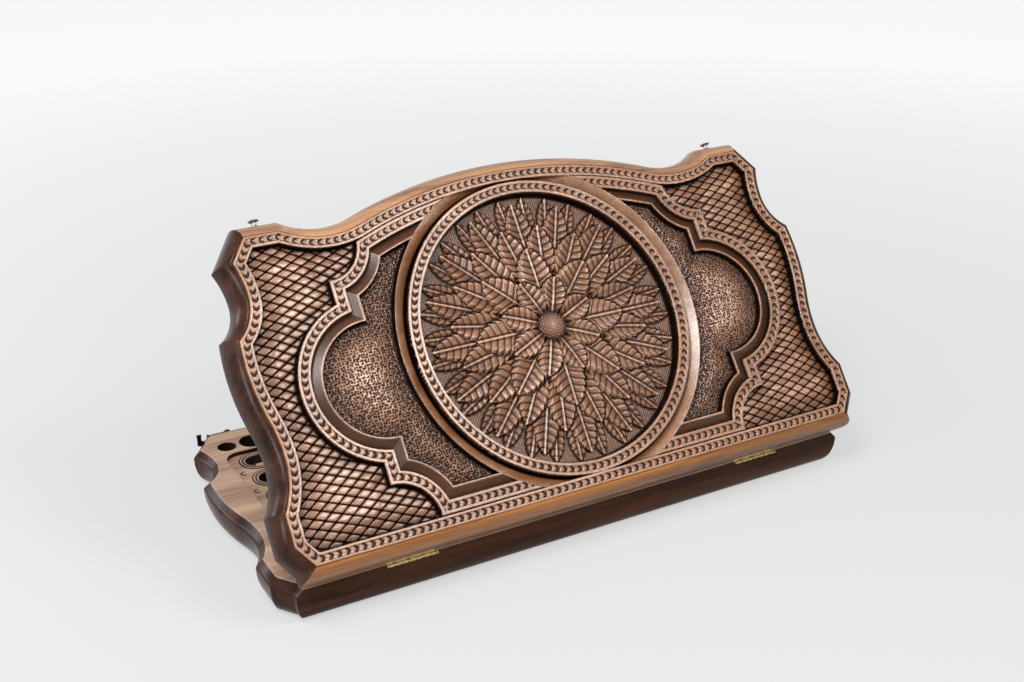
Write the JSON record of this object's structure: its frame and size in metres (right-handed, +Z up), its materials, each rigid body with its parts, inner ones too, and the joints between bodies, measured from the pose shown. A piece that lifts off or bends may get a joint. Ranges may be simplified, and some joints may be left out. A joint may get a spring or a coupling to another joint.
{
  "type": "backgammon board case",
  "caption": "Carved walnut backgammon case: two hinged tray halves with braided borders, lattice corners, a round rosette medallion, hook catches and inlaid playing points.",
  "frame": {"origin": "on the resting plane, half way along the case, in the middle of the front run of the border band on the underside of the base half", "axes": "+X along the hinge to the right, +Y to the rear, +Z up"},
  "size_m": [0.643, 0.3773, 0.3337],
  "materials": {
    "walnut": "satin lacquer, ends stained dark, rim natural",
    "carved_walnut": "satin lacquer over carving, cuts burnt dark",
    "field_walnut": "satin lacquer",
    "pale_maple": "satin lacquer",
    "dark_walnut": "satin lacquer",
    "brass": "polished",
    "steel": "bright",
    "dark_iron": "blackened"
  },
  "bodies": {
    "base": {"base_front_rail": "walnut", "base_rear_rail": "walnut", "base_bay_blocks": "walnut", "base_playing_field": "field_walnut", "base_pale_points": "pale_maple", "base_dark_points": "dark_walnut", "base_carved_board": "carved_walnut", "base_rosette": "carved_walnut", "base_hinge_screws": "brass", "left_hinge_base_leaf": "brass", "right_hinge_base_leaf": "brass", "left_hinge_pin": "brass", "right_hinge_pin": "brass", "left_hook_screw": "dark_iron", "right_hook_screw": "dark_iron"},
    "lid": {"lid_front_rail": "walnut", "lid_rear_rail": "walnut", "lid_bay_blocks": "walnut", "lid_playing_field": "field_walnut", "lid_pale_points": "pale_maple", "lid_dark_points": "dark_walnut", "lid_carved_board": "carved_walnut", "lid_rosette": "carved_walnut", "lid_hinge_screws": "brass", "left_hinge_lid_leaf": "brass", "right_hinge_lid_leaf": "brass", "left_stud": "steel", "right_stud": "steel"},
    "left_hook": {"left_hook": "dark_iron"},
    "right_hook": {"right_hook": "dark_iron"}
  },
  "joints": [
    {"name": "lid_hinge", "type": "hinge", "parent": "base", "child": "lid", "pos_m": [0, -0.021, 0.038], "axis": [1, 0, 0], "range_deg": [-51.8, 128.2]},
    {"name": "left_hook_pivot", "type": "hinge", "parent": "base", "child": "left_hook", "pos_m": [-0.259, 0.314, 0.03], "axis": [0, 1, 0], "range_deg": [-35, 90]},
    {"name": "right_hook_pivot", "type": "hinge", "parent": "base", "child": "right_hook", "pos_m": [0.259, 0.314, 0.03], "axis": [0, -1, 0], "range_deg": [-35, 90]}
  ]
}
